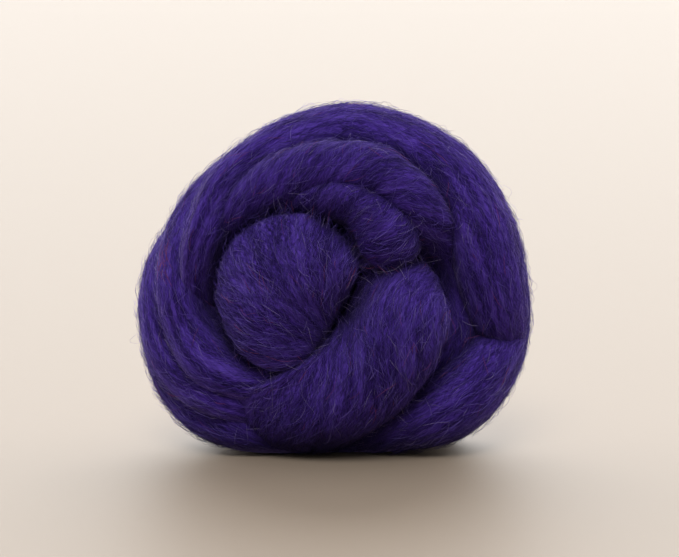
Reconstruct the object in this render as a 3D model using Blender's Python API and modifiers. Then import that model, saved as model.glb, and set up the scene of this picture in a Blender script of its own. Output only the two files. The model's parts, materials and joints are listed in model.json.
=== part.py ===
"""Wool roving wound into a ball: one thick, untwisted strand coiled on itself.

The ball stands on its rim, on a small flat. Its winding axis lies along Y, and its
face looks along -Y. The origin is on the table, under the middle of the ball.
The tables are in millimetres and degrees, and the model is in metres.
"""

import math

import bmesh
import bpy
import numpy as np

MM = 0.001
NAME = "roving_ball"

# The ball as a whole, and the place of its winding axis, which leaves the origin under its middle.
BALL_RADIUS = 52.5 * MM
BALL_HALF_DEPTH = 34.0 * MM
AXIS_PLACE = (0.40 * MM, 1.09 * MM)
AXIS_HEIGHT = 40.3 * MM

# How the weight levels the underside: how far past the table it would reach, and how softly.
REST_MARGIN = 0.5 * MM
REST_SOFTNESS = 2.0 * MM

# The flatter flank, up on one side: where it lies, how far round it reaches, and how flat it is.
FLANK_CLOCK = -48.0
FLANK_SPREAD = 28.0
FLANK_SHARE = 0.05

# The wound middle that the turns lie on.
CORE_RADIUS = 41.0 * MM
CORE_HALF_DEPTH = 17.0 * MM
CORE_SEGMENTS = 32
CORE_RINGS = 20

# The strand's own section: a turn is sunk among its neighbours by this share of its half thickness, and by
# ROOT at most.
ROOT = 11.0 * MM
ROOT_SHARE = 1.6
SECTION_POINTS = 16
STEPS_PER_ROW = 5

# Two pieces run out gently on one side: their height there is the sine of the section's angle to this power.
SLOPES = {"inner_hook": 1.8, "front_fold": 2.8}

# The round lobe on the face: its middle and half length across, its root, and the least half size of its
# sections.
LOBE_MIDDLE = -12.4 * MM
LOBE_HALF_LENGTH = 18.8 * MM
LOBE_ROOT = 9.0 * MM
LEAST_HALF = 0.2 * MM

# The hollow in the lobe's lower right, where it turns into the crevice: its place across and up from the
# axis, how far it reaches, and how deep it is.
HOLLOW_PLACE = (-2.0 * MM, -7.0 * MM)
HOLLOW_REACH = 13.0 * MM
HOLLOW_DEEP = 5.0 * MM

# The turns that close the back run on one spiral towards the winding axis.
BACK_START_CLOCK = -60.0
BACK_TURNS = 3.6
BACK_TAPER_TURNS = 0.2
BACK_TAPER_LEAST = 0.3
BACK_REACH = 45.5 * MM
BACK_DEPTH = 27.0 * MM
BACK_FIRST_LATITUDE = 3.0
BACK_LAST_LATITUDE = 80.0
BACK_PROFILE_POINTS = 200
BACK_HALF_WIDTH = 8.8 * MM
BACK_HALF_THICKNESS = 7.2 * MM
STEPS_PER_TURN = 36

# The table under the flat: a block that is cut away.
TABLE_SIDE = 200.0 * MM
TABLE_THICK = 20.0 * MM

# The turns are melted into one body, smoothed a little, and thinned to this many triangles.
MELT_STEP = 0.8 * MM
MELT_SMOOTHING = 0.5
WANTED_TRIANGLES = 9000

VIOLET = (0.043, 0.0175, 0.2, 1.0)
WOOL_ROUGHNESS = 0.85

# A turn's rows: clock (0 at the top, positive clockwise seen from the front), reach (distance
# from the winding axis), depth (along +Y, away from the front), half width, half thickness.
TURNS = {
    "third_turn": (
        (-84, 33.0, -4.0, 4.0, 5.0),
        (-66, 34.5, -9.0, 4.5, 6.0),
        (-48, 36.5, -15.5, 5.0, 6.5),
        (-33, 37.5, -18.5, 6.0, 7.0),
        (-18, 37.6, -20.0, 6.8, 7.3),
        (-2, 37.6, -20.5, 7.2, 7.3),
        (13, 37.6, -20.5, 7.5, 7.3),
        (27, 36.2, -20.5, 7.0, 7.3),
        (40, 34.2, -19.0, 6.7, 7.3),
        (53, 32.0, -14.0, 6.0, 7.0),
        (68, 31.0, -9.5, 5.5, 6.5),
        (88, 31.5, -7.5, 6.3, 6.0),
        (110, 33.0, -8.5, 7.0, 6.0),
        (132, 33.0, -10.5, 7.5, 6.5),
        (150, 32.0, -12.0, 8.0, 7.0),
        (166, 30.5, -10.0, 6.5, 6.0),
        (180, 29.0, -6.0, 3.0, 4.0),
    ),
    "inner_hook": (
        (-32, 29.5, -16.0, 3.0, 4.0),
        (-14, 29.4, -20.8, 4.6, 5.8),
        (0, 29.2, -22.8, 5.0, 6.6),
        (10, 28.0, -23.6, 5.4, 7.0),
        (20, 26.0, -23.8, 6.6, 7.3),
        (31, 23.8, -23.0, 8.2, 7.4),
        (40, 22.5, -20.0, 8.0, 7.2),
        (47, 21.5, -12.5, 7.0, 6.0),
        (54, 21.0, -4.0, 6.0, 5.0),
    ),
    "fourth_turn": (
        (-120, 32.0, 2.0, 2.5, 3.0),
        (-106, 33.0, -4.0, 3.0, 4.5),
        (-93, 34.3, -8.5, 3.5, 5.5),
        (-80, 36.5, -12.0, 4.0, 6.0),
        (-69, 38.8, -14.6, 4.3, 6.5),
        (-58, 41.0, -16.0, 5.0, 7.3),
        (-44, 43.1, -13.8, 5.8, 7.5),
        (-31, 43.0, -10.8, 6.8, 7.5),
        (-16, 43.5, -8.0, 8.3, 7.3),
        (4, 45.3, -5.2, 9.7, 7.1),
        (24, 45.6, -5.7, 10.2, 7.3),
        (42, 45.0, -7.5, 10.5, 8.0),
        (60, 43.2, -10.0, 11.0, 8.5),
        (76, 42.2, -10.5, 10.5, 8.3),
        (90, 42.6, -8.5, 9.0, 8.0),
        (103, 44.0, -4.0, 7.8, 7.5),
        (116, 44.0, 2.0, 6.5, 6.5),
        (130, 42.0, 7.0, 3.0, 3.0),
    ),
    "outer_turn": (
        (-162, 8.0, -12.0, 3.0, 4.5),
        (-156, 12.0, -17.0, 3.6, 6.0),
        (-148, 18.0, -19.8, 4.2, 6.8),
        (-138, 24.0, -19.5, 4.8, 7.0),
        (-127, 29.8, -18.5, 6.0, 7.5),
        (-113, 35.5, -16.5, 7.6, 8.0),
        (-98, 39.3, -13.5, 6.5, 6.8),
        (-84, 41.8, -11.5, 6.5, 6.5),
        (-70, 43.2, -4.5, 7.5, 7.0),
        (-54, 44.2, 1.5, 7.5, 7.0),
        (-34, 42.9, 5.0, 8.0, 7.0),
        (-14, 43.1, 7.0, 7.5, 6.5),
        (8, 44.0, 8.0, 2.0, 2.0),
    ),
    "rim_turn": (
        (-160, 27.0, -8.0, 5.0, 6.0),
        (-144, 31.0, -13.0, 6.5, 7.5),
        (-127, 37.5, -14.5, 7.0, 8.0),
        (-112, 44.0, -8.0, 8.0, 7.8),
        (-96, 45.8, -1.5, 8.0, 7.5),
        (-82, 45.6, 5.0, 8.0, 7.0),
        (-64, 42.0, 11.0, 8.5, 7.0),
        (-40, 41.0, 15.0, 7.5, 6.5),
        (-18, 39.5, 17.0, 2.0, 2.0),
    ),
    "low_turn": (
        (-200, 40.0, 0.0, 6.0, 5.0),
        (-185, 39.5, -1.0, 9.0, 7.0),
        (-170, 38.5, -4.5, 9.0, 7.5),
        (-156, 37.6, -8.5, 8.5, 8.0),
        (-142, 39.8, -11.0, 8.5, 8.0),
        (-128, 45.0, -7.5, 8.0, 7.5),
        (-112, 47.2, 0.0, 8.0, 7.0),
        (-92, 44.8, 7.0, 8.0, 7.0),
        (-72, 41.0, 13.0, 7.0, 6.5),
        (-52, 38.5, 16.0, 2.0, 2.0),
    ),
    "under_turn": (
        (36, 43.5, 12.0, 2.0, 2.0),
        (56, 44.0, 12.0, 7.0, 6.5),
        (76, 44.4, 9.0, 8.0, 7.3),
        (90, 44.3, 4.0, 8.5, 7.8),
        (103, 44.9, -2.5, 9.5, 8.0),
        (118, 43.6, -9.8, 10.5, 8.0),
        (136, 40.8, -12.4, 11.0, 7.8),
        (152, 39.6, -9.0, 11.0, 7.5),
        (170, 40.0, -1.5, 11.0, 7.5),
        (186, 40.3, 0.5, 11.0, 7.5),
        (205, 41.3, 1.5, 9.0, 7.0),
        (228, 41.0, 4.0, 3.0, 4.0),
    ),
}

# A fold's rows: across (+X), depth (+Y), height over the winding axis, half width, half thickness, and the
# angle by which its section is rolled about the strand, left side down.
FOLDS = {
    "front_fold": (
        (19.5, -8.0, 6.8, 7.0, 5.5, 6.0),
        (19.8, -16.5, 6.2, 9.0, 7.0, 12.0),
        (18.6, -21.6, 3.2, 11.0, 8.0, 22.0),
        (16.2, -24.8, -3.2, 12.7, 8.6, 28.0),
        (11.9, -25.6, -10.8, 13.6, 8.6, 20.0),
        (5.8, -24.2, -19.3, 14.8, 8.6, 0.0),
        (-4.6, -20.0, -26.6, 17.0, 8.4, -12.0),
        (-14.0, -12.3, -32.0, 19.8, 7.7, -10.0),
        (-20.0, -2.5, -37.3, 20.0, 7.2, 0.0),
    ),
    "back_tuck": (
        (9.0, 15.0, -2.0, 4.0, 4.0, 0.0),
        (5.0, 22.5, -3.5, 7.5, 6.0, 0.0),
        (-1.0, 26.5, -3.5, 8.5, 6.5, 0.0),
        (-6.0, 24.5, -1.0, 7.5, 6.0, 0.0),
        (-9.0, 18.0, 4.0, 4.0, 4.0, 0.0),
    ),
}

# The lobe's rows go round its outline from its left end: half angle t, middle height, half height, middle
# depth, half thickness. Its sections stand at LOBE_MIDDLE - LOBE_HALF_LENGTH * cos(t) across.
LOBE = (
    (0, 5.2, 0.4, -17.0, 0.4),
    (15, 5.2, 5.3, -18.5, 4.0),
    (30, 4.9, 10.0, -20.5, 6.8),
    (45, 4.6, 14.6, -22.5, 9.0),
    (60, 4.4, 17.8, -24.2, 10.5),
    (75, 4.5, 19.9, -25.3, 11.0),
    (90, 5.0, 20.4, -25.8, 11.0),
    (105, 6.1, 19.4, -25.5, 10.8),
    (120, 7.4, 15.0, -24.5, 10.3),
    (135, 10.0, 10.0, -23.0, 9.5),
    (150, 11.2, 6.3, -21.0, 8.3),
    (165, 11.9, 3.0, -18.5, 6.5),
    (180, 12.1, 0.4, -15.5, 0.4),
)


def unit(vectors):
    return vectors / np.linalg.norm(vectors, axis=1, keepdims=True)


def through(rows, steps):
    """The rows with steps more between each two, on one smooth curve through them."""
    rows = np.array(rows, float)
    padded = np.vstack([2 * rows[0] - rows[1], rows, 2 * rows[-1] - rows[-2]])
    at = np.linspace(0, len(rows) - 1, steps * (len(rows) - 1) + 1)
    whole = np.minimum(at.astype(int), len(rows) - 2)
    t = (at - whole)[:, None]
    a, b, c, d = (padded[whole + k] for k in range(4))
    curve = 2 * b + (c - a) * t + (2 * a - 5 * b + 4 * c - d) * t**2
    return 0.5 * (curve + (3 * b - a - 3 * c + d) * t**3)


def around(clock, reach, depth):
    """Places from the winding axis: clock in degrees, reach and depth in metres."""
    angle = np.radians(clock)
    from_flank = (clock - FLANK_CLOCK + 180) % 360 - 180
    reach = reach * (1 - FLANK_SHARE * np.exp(-((from_flank / FLANK_SPREAD) ** 2)))
    return np.stack([reach * np.sin(angle), depth, reach * np.cos(angle)], 1)


def turn_path(rows):
    """Places, half widths, half thicknesses and rolls of a turn's sections, in metres and radians."""
    clock, reach, depth, width, thick = through(rows, STEPS_PER_ROW).T
    return around(clock, reach * MM, depth * MM), width * MM, thick * MM, 0 * clock


def fold_path(rows):
    """Places, half widths, half thicknesses and rolls of a fold's sections, in metres and radians."""
    across, depth, height, width, thick, roll = through(rows, STEPS_PER_ROW).T
    return np.stack([across, depth, height], 1) * MM, width * MM, thick * MM, np.radians(roll)


def back_path():
    """The spiral over the back: the turns advance by equal lengths along its rounded profile."""
    latitude = np.radians(np.linspace(BACK_FIRST_LATITUDE, BACK_LAST_LATITUDE, BACK_PROFILE_POINTS))
    reach, depth = BACK_REACH * np.cos(latitude), BACK_DEPTH * np.sin(latitude)
    length = np.r_[0, np.cumsum(np.hypot(np.diff(reach), np.diff(depth)))]
    count = round(BACK_TURNS * STEPS_PER_TURN) + 1
    wanted = np.linspace(0, length[-1], count)
    clock = BACK_START_CLOCK + np.linspace(0, 360 * BACK_TURNS, count)
    places = around(clock, np.interp(wanted, length, reach), np.interp(wanted, length, depth))
    taper = np.clip(np.linspace(0, BACK_TURNS, count) / BACK_TAPER_TURNS, BACK_TAPER_LEAST, 1)
    return places, taper * BACK_HALF_WIDTH, taper * BACK_HALF_THICKNESS, 0 * taper


def outward(places):
    """The way out of the ball at each place: the normal of the ellipsoid through it."""
    return unit(places / np.array([BALL_RADIUS, BALL_HALF_DEPTH, BALL_RADIUS]) ** 2)


def press(points):
    """Points from the winding axis set on the table, with the underside softly squashed level."""
    limit = AXIS_HEIGHT + REST_MARGIN
    held = -REST_SOFTNESS * np.logaddexp(points[:, 2] / REST_SOFTNESS, -limit / REST_SOFTNESS)
    return np.column_stack([points[:, :2] + AXIS_PLACE, AXIS_HEIGHT - held])


def section():
    """The angles of a section's points, from one side outwards and on round."""
    return np.linspace(0, 2 * math.pi, SECTION_POINTS, endpoint=False)


def strand(name, path):
    """One stretch of strand: oval sections, rounded outwards and rooted inwards."""
    places, width, thick, roll = path
    along = unit(np.gradient(places, axis=0))
    out = outward(places)
    out = unit(out - (out * along).sum(1, keepdims=True) * along)
    side = np.cross(along, out)
    roll = roll[:, None]
    side, out = np.cos(roll) * side - np.sin(roll) * out, np.cos(roll) * out + np.sin(roll) * side
    angle = section()
    gentle = (np.cos(angle) > 0) & (np.sin(angle) > 0)
    rise = np.abs(np.sin(angle)) ** np.where(gentle, SLOPES.get(name, 1.0), 1.0)
    outwards = thick[:, None] * rise
    inwards = -np.minimum(ROOT, ROOT_SHARE * thick)[:, None] * rise
    depth = np.where(np.sin(angle) > 0, outwards, inwards)
    rings = places[:, None] + (width[:, None] * np.cos(angle))[..., None] * side[:, None]
    return loft(name, rings + depth[..., None] * out[:, None], places)


def lobe():
    """The round lobe: upright oval sections from left to right, hollowed where it turns into the crevice."""
    turned, height, width, depth, thick = through(LOBE, STEPS_PER_ROW).T
    across = LOBE_MIDDLE - LOBE_HALF_LENGTH * np.cos(np.radians(turned))
    places = np.stack([across, depth * MM, height * MM], 1)
    width, thick = np.maximum(width * MM, LEAST_HALF), np.maximum(thick * MM, LEAST_HALF)
    angle = section()
    rings = np.repeat(places[:, None], SECTION_POINTS, axis=1)
    rings[..., 2] -= width[:, None] * np.cos(angle)
    forward = np.where(np.sin(angle) > 0, thick[:, None], np.minimum(LOBE_ROOT, thick)[:, None])
    rings[..., 1] -= forward * np.sin(angle)
    from_hollow = np.hypot(rings[..., 0] - HOLLOW_PLACE[0], rings[..., 2] - HOLLOW_PLACE[1])
    hollow = HOLLOW_DEEP * np.exp(-((from_hollow / HOLLOW_REACH) ** 2))
    rings[..., 1] += hollow * np.clip(np.sin(angle), 0, 1)
    return loft("core_lobe", rings, places)


def loft(name, rings, places):
    """A closed mesh over the rings, brought to a point at each end of the line through their middles."""
    count, n = len(places), SECTION_POINTS
    points = press(np.vstack([rings.reshape(-1, 3), places[:1], places[-1:]]))
    faces = [
        (r * n + k, (r + 1) * n + k, (r + 1) * n + (k + 1) % n, r * n + (k + 1) % n)
        for r in range(count - 1)
        for k in range(n)
    ]
    first, last = count * n, count * n + 1
    faces += [(first, k, (k + 1) % n) for k in range(n)]
    faces += [(last, (count - 1) * n + (k + 1) % n, (count - 1) * n + k) for k in range(n)]
    mesh = bpy.data.meshes.new(name)
    mesh.from_pydata(points.tolist(), [], faces)
    return mesh


def core():
    """The wound middle: a flattened ball, pressed level underneath as the turns are."""
    ball = bmesh.new()
    bmesh.ops.create_uvsphere(ball, u_segments=CORE_SEGMENTS, v_segments=CORE_RINGS, radius=1)
    mesh = bpy.data.meshes.new("core")
    ball.to_mesh(mesh)
    ball.free()
    points = np.empty(len(mesh.vertices) * 3)
    mesh.vertices.foreach_get("co", points)
    points = points.reshape(-1, 3) * (CORE_RADIUS, CORE_HALF_DEPTH, CORE_RADIUS)
    mesh.vertices.foreach_set("co", press(points).ravel())
    return mesh


def joined(meshes):
    """One mesh that holds them all, still overlapping."""
    whole = bmesh.new()
    for mesh in meshes:
        whole.from_mesh(mesh)
        bpy.data.meshes.remove(mesh)
    result = bpy.data.meshes.new(NAME)
    whole.to_mesh(result)
    whole.free()
    return result


def outer_skin(mesh):
    """The skin alone: the small hollows shut in between the turns are filled."""
    work = bmesh.new()
    work.from_mesh(mesh)
    left = set(work.verts)
    shells = []
    while left:
        shell = set()
        edge = [next(iter(left))]
        while edge:
            vert = edge.pop()
            if vert not in shell:
                shell.add(vert)
                edge += [link.other_vert(vert) for link in vert.link_edges]
        shells.append(shell)
        left -= shell
    skin = max(shells, key=len)
    bmesh.ops.delete(work, geom=[v for v in work.verts if v not in skin], context="VERTS")
    work.to_mesh(mesh)
    work.free()


def finish(obj, kind, **settings):
    """One more modifier on the object, applied."""
    modifier = obj.modifiers.new(kind.title(), kind)
    for name, value in settings.items():
        setattr(modifier, name, value)
    graph = bpy.context.evaluated_depsgraph_get()
    mesh = bpy.data.meshes.new_from_object(obj.evaluated_get(graph))
    obj.modifiers.clear()
    before, obj.data = obj.data, mesh
    bpy.data.meshes.remove(before)
    mesh.name = obj.name


def collection(name):
    """A new collection in the scene."""
    made = bpy.data.collections.new(name)
    bpy.context.scene.collection.children.link(made)
    return made


def table_cutter(cutters):
    """The block under the table's surface, which leaves the ball's flat."""
    shape = bmesh.new()
    bmesh.ops.create_cube(shape, size=1)
    bmesh.ops.scale(shape, vec=(TABLE_SIDE, TABLE_SIDE, TABLE_THICK), verts=shape.verts)
    mesh = bpy.data.meshes.new("table_cutter")
    shape.to_mesh(mesh)
    shape.free()
    cutter = bpy.data.objects.new("table_cutter", mesh)
    cutter.location.z = -TABLE_THICK / 2
    cutter.hide_render = True
    cutter.display_type = "WIRE"
    cutters.objects.link(cutter)
    return cutter


def wool():
    """Dyed combed wool, matt."""
    material = bpy.data.materials.new("dyed_wool")
    material.use_nodes = True
    shader = material.node_tree.nodes["Principled BSDF"]
    shader.inputs["Base Color"].default_value = VIOLET
    shader.inputs["Roughness"].default_value = WOOL_ROUGHNESS
    material.diffuse_color = VIOLET
    return material


def roving_ball(parts, cutters):
    """The whole ball: the turns, the folds and the wound middle as one solid, cut level underneath."""
    lofts = [strand(name, turn_path(rows)) for name, rows in TURNS.items()]
    lofts += [strand(name, fold_path(rows)) for name, rows in FOLDS.items()]
    lofts += [lobe(), strand("back_turns", back_path()), core()]
    ball = bpy.data.objects.new(NAME, joined(lofts))
    parts.objects.link(ball)
    finish(ball, "REMESH", mode="VOXEL", voxel_size=MELT_STEP)
    outer_skin(ball.data)
    finish(ball, "SMOOTH", factor=MELT_SMOOTHING, iterations=1)
    triangles = sum(len(face.vertices) - 2 for face in ball.data.polygons)
    finish(ball, "DECIMATE", ratio=WANTED_TRIANGLES / triangles)
    cut = ball.modifiers.new("Flat", "BOOLEAN")
    cut.operation = "DIFFERENCE"
    cut.object = table_cutter(cutters)
    ball.data.materials.append(wool())
    ball.data.shade_smooth()


def main():
    for obj in list(bpy.data.objects):
        bpy.data.objects.remove(obj)
    roving_ball(collection("wool_roving"), collection("cutters"))


if __name__ == "__main__":
    main()
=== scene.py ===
"""The looks of a ball of dyed wool roving: one thick, untwisted strand of combed fibres, wound on itself.

The ball's sizes are written in millimetres, and MM turns them into metres, which the model, the floor and
the view are in, with +Z up. Clock angles are in degrees from the top, positive clockwise seen from the
front. The front faces -Y, and the ball stands on z = 0.
"""

import json
import math

import bpy
import numpy as np
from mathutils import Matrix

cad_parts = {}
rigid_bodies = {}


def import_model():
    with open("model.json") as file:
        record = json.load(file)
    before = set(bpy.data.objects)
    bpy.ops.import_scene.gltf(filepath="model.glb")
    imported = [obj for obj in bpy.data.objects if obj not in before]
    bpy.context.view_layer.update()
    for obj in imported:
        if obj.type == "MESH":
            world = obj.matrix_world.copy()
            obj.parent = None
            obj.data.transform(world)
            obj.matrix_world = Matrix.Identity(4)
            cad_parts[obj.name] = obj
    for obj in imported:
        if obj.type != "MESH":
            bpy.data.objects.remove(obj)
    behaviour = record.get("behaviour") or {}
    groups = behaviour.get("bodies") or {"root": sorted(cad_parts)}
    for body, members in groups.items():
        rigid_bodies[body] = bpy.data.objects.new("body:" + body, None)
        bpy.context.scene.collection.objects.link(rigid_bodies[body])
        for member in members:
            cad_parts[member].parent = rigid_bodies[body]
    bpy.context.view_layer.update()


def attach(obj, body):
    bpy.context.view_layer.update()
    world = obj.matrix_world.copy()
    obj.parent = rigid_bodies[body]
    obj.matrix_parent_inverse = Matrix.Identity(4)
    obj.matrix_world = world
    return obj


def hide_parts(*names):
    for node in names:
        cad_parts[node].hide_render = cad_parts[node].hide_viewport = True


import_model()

# ---- The wound middle ----
# The roving's first turns, wound tight and then hidden. They are the same dyed wool as the rest, close the
# gaps at the bottom of the valleys, and are pressed level where the ball stands on the floor.

MM = 0.001
BALL_RADIUS = 52.5 * MM
BALL_HALF_DEPTH = 34.0 * MM
AXIS_PLACE = (0.40 * MM, 1.09 * MM)
AXIS_HEIGHT = 40.3 * MM
REST_MARGIN = 0.5 * MM
REST_SOFTNESS = 2.0 * MM
MIDDLE_RADIUS = 41 * MM
MIDDLE_HALF_DEPTH = 17 * MM
MIDDLE_GRAIN = (25, 41)  # mm of combing for each radian across and along its fibres

# The locks of combed wool, from wide to fine: height, width across the fibres and length along them, in mm.
LOCKS = ((0.17, 3.4, 26), (0.12, 1.6, 11), (0.12, 0.85, 5), (0.09, 0.45, 2.2))


def settled(points):
    """Points measured from the winding axis, put in their place over the floor. What would reach past the
    floor is held back: z = axis height + log(exp(height) + exp(-limit)), where height is measured up from
    the axis, limit is the axis height and the margin, and lengths are in units of the softness."""
    limit = AXIS_HEIGHT + REST_MARGIN
    held = -REST_SOFTNESS * np.logaddexp(points[..., 2] / REST_SOFTNESS, -limit / REST_SOFTNESS)
    x, y = points[..., 0] + AXIS_PLACE[0], points[..., 1] + AXIS_PLACE[1]
    moved = np.stack([x, y, AXIS_HEIGHT - held], -1)
    moved[..., 2] = np.maximum(moved[..., 2], 0)
    return moved


def soft_noise(x, y, seed):
    """Smooth noise from -1 to 1: a random height at each whole (x, y), eased between them by 3t^2 - 2t^3."""
    heights = np.random.default_rng(seed).uniform(-1, 1, (256, 256))
    i, j = np.floor(x).astype(int), np.floor(y).astype(int)
    s, t = x - i, y - j
    s, t = s * s * (3 - 2 * s), t * t * (3 - 2 * t)
    low = heights[i % 256, j % 256] * (1 - s) + heights[(i + 1) % 256, j % 256] * s
    high = heights[i % 256, (j + 1) % 256] * (1 - s) + heights[(i + 1) % 256, (j + 1) % 256] * s
    return low * (1 - t) + high * t


def combed_relief(across, along, seed):
    """Height in mm of the locks and grooves of combed wool: noise that is fine across the fibres and long
    along them, in four widths, over a slow sideways drift. Both coordinates are in mm."""
    drift = 0.9 * soft_noise(across / 7, along / 18, seed)
    across = across + drift + 0.35 * soft_noise(across / 2.2, along / 3.5, seed + 5)
    relief = 0
    for later, (height, width, length) in enumerate(LOCKS, 1):
        relief = relief + height * soft_noise(across / width, along / length, seed + later)
    return relief


def tube_faces(n, m):
    """The faces of a tube of n rings of m points with a point past each end: point k of ring r is r m + k,
    and the two end points follow the last ring. Also each quad's corners as (ring, point), where the last
    point's next is one column past it."""
    r, k = np.meshgrid(np.arange(n - 1), np.arange(m), indexing="ij")
    k2 = (k + 1) % m
    quads = np.stack([r * m + k, r * m + k2, (r + 1) * m + k2, (r + 1) * m + k], -1).reshape(-1, 4)
    corner = np.array([[0, 0], [0, 1], [1, 1], [1, 0]])
    quad_cells = (np.stack([r, k], -1)[..., None, :] + corner).reshape(-1, 2)
    k = np.arange(m)
    first = np.stack([np.full(m, n * m), (k + 1) % m, k], -1)
    last = np.stack([np.full(m, n * m + 1), (n - 1) * m + k, (n - 1) * m + (k + 1) % m], -1)
    return quads, first, last, quad_cells


def closed_tube(name, rings, tips, grain):
    """A mesh from rings of points and two end points. rings is (ring, point, xyz), and the last point of a
    ring goes back to its first. grain is (ring, point + 1, 2): the combing coordinates, one column past. The
    rings are run anticlockwise about their line, where the sum of spoke x next spoke points along it."""
    spokes = rings - rings.mean(1, keepdims=True)
    turned = np.cross(spokes, np.roll(spokes, -1, axis=1)).sum(1)
    if (turned * np.gradient(rings.mean(1), axis=0)).sum() < 0:
        rings, grain = rings[:, ::-1], grain[:, ::-1]
    n, m = rings.shape[:2]
    points = np.vstack([rings.reshape(-1, 3), tips])
    quads, first, last, quad_cells = tube_faces(n, m)
    k = np.arange(m)
    zero, top = np.zeros(m, int), np.full(m, n - 1)
    first_cells = np.stack([zero, k, zero, k + 1, zero, k], -1).reshape(-1, 2)
    last_cells = np.stack([top, k, top, k, top, k + 1], -1).reshape(-1, 2)
    cells = np.vstack([quad_cells, first_cells, last_cells])
    faces = [quads, first, last]
    return flat_mesh(name, points, faces, cells / [n - 1, m], grain[cells[:, 0], cells[:, 1]])


def flat_mesh(name, points, face_groups, bake_uv, grain_uv=None):
    """A mesh from arrays: points, groups of faces with equal corners, and each corner's place in its maps."""
    mesh = bpy.data.meshes.new(name)
    corners = np.concatenate([faces.ravel() for faces in face_groups])
    sizes = np.concatenate([np.full(len(faces), faces.shape[1]) for faces in face_groups])
    mesh.vertices.add(len(points))
    mesh.vertices.foreach_set("co", points.astype(np.float32).ravel())
    mesh.loops.add(len(corners))
    mesh.loops.foreach_set("vertex_index", corners.astype(np.int32))
    mesh.polygons.add(len(sizes))
    mesh.polygons.foreach_set("loop_start", np.r_[0, np.cumsum(sizes)[:-1]].astype(np.int32))
    mesh.update(calc_edges=True)
    mesh.uv_layers.new(name="OFBake").data.foreach_set("uv", bake_uv.astype(np.float32).ravel())
    if grain_uv is not None:
        mesh.uv_layers.new(name="Grain").data.foreach_set("uv", grain_uv.astype(np.float32).ravel())
    mesh.shade_smooth()
    return mesh


def shown(name, mesh, material):
    """The mesh as an object of the scene, with its material."""
    mesh.materials.append(material)
    piece = bpy.data.objects.new(name, mesh)
    bpy.context.scene.collection.objects.link(piece)
    return piece


def new_node(tree, kind, inputs=None, **settings):
    """A shader node with its settings, and on its inputs either plain values or links from other nodes."""
    node = tree.nodes.new("ShaderNode" + kind)
    for name, value in settings.items():
        setattr(node, name, value)
    for name, value in (inputs or {}).items():
        if isinstance(value, bpy.types.NodeSocket):
            tree.links.new(value, node.inputs[name])
        else:
            node.inputs[name].default_value = value
    return node


def combed_group():
    """Shader group of combed fibres: noise stretched along the fibres and, finer, at a slant to either side.
    Streak is fine lines, Lock is wide soft bands, and Height is the relief of the fibres in the surface."""
    group = bpy.data.node_groups.new("combed_fibres", "ShaderNodeTree")
    group.interface.new_socket("Grain", in_out="INPUT", socket_type="NodeSocketVector")
    for name, value in (("Fine", 2.7), ("Long", 0.28)):
        socket = group.interface.new_socket(name, in_out="INPUT", socket_type="NodeSocketFloat")
        socket.default_value = value
    for name in ("Streak", "Lock", "Height"):
        group.interface.new_socket(name, in_out="OUTPUT", socket_type="NodeSocketFloat")
    into, out = group.nodes.new("NodeGroupInput"), group.nodes.new("NodeGroupOutput")
    grain = into.outputs["Grain"]
    drift_look = {"Vector": grain, "Scale": 0.35, "Detail": 2.0}
    drift = new_node(group, "TexNoise", drift_look, noise_dimensions="2D")
    drifted = {0: drift.outputs["Color"], 1: (1.5, 0, 0), 2: grain}
    sideways = new_node(group, "VectorMath", drifted, operation="MULTIPLY_ADD")
    stretch = new_node(group, "CombineXYZ", {"X": into.outputs["Fine"], "Y": into.outputs["Long"]})
    layers = []
    for share, detail, slant in ((1.0, 3.0, 0.0), (0.16, 1.0, 0.0), (1.7, 2.0, 0.42), (2.2, 2.0, -0.38)):
        slanted = {"Vector": sideways.outputs[0], "Angle": slant}
        turned = new_node(group, "VectorRotate", slanted, rotation_type="Z_AXIS")
        size = new_node(group, "VectorMath", {0: stretch.outputs[0], "Scale": share}, operation="SCALE")
        sized = {0: turned.outputs[0], 1: size.outputs[0]}
        place = new_node(group, "VectorMath", sized, operation="MULTIPLY")
        look = {"Vector": place.outputs[0], "Scale": 1.0, "Detail": detail, "Roughness": 0.6}
        layers.append(new_node(group, "TexNoise", look, noise_dimensions="2D").outputs[0])

    def weighed(layer, weight, rest):
        """layer * weight + rest"""
        term = new_node(group, "Math", {0: layer, 1: weight, 2: rest}, operation="MULTIPLY_ADD")
        return term.outputs[0]

    along, wide, right, left = layers
    streak = weighed(along, 0.44, weighed(right, 0.28, weighed(left, 0.28, 0)))
    group.links.new(streak, out.inputs["Streak"])
    group.links.new(wide, out.inputs["Lock"])
    group.links.new(weighed(right, 0.5, weighed(left, 0.4, along)), out.inputs["Height"])
    return group


def shaded_group():
    """Shader group for the painted shade of wool down between the turns: its colour goes over to near black
    as the shade grows.
    """
    group = bpy.data.node_groups.new("shade_between_turns", "ShaderNodeTree")
    group.interface.new_socket("Colour", in_out="INPUT", socket_type="NodeSocketColor")
    group.interface.new_socket("Shade", in_out="INPUT", socket_type="NodeSocketFloat")
    group.interface.new_socket("Colour", in_out="OUTPUT", socket_type="NodeSocketColor")
    into, out = group.nodes.new("NodeGroupInput"), group.nodes.new("NodeGroupOutput")
    mix = group.nodes.new("ShaderNodeMix")
    mix.data_type = "RGBA"
    group.links.new(into.outputs["Shade"], mix.inputs["Factor"])
    group.links.new(into.outputs["Colour"], next(i for i in mix.inputs if i.name == "A" and i.type == "RGBA"))
    next(i for i in mix.inputs if i.name == "B" and i.type == "RGBA").default_value = (*PAINTED_SHADE_DARKEST, 1)
    group.links.new(next(o for o in mix.outputs if o.type == "RGBA"), out.inputs["Colour"])
    return group


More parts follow.
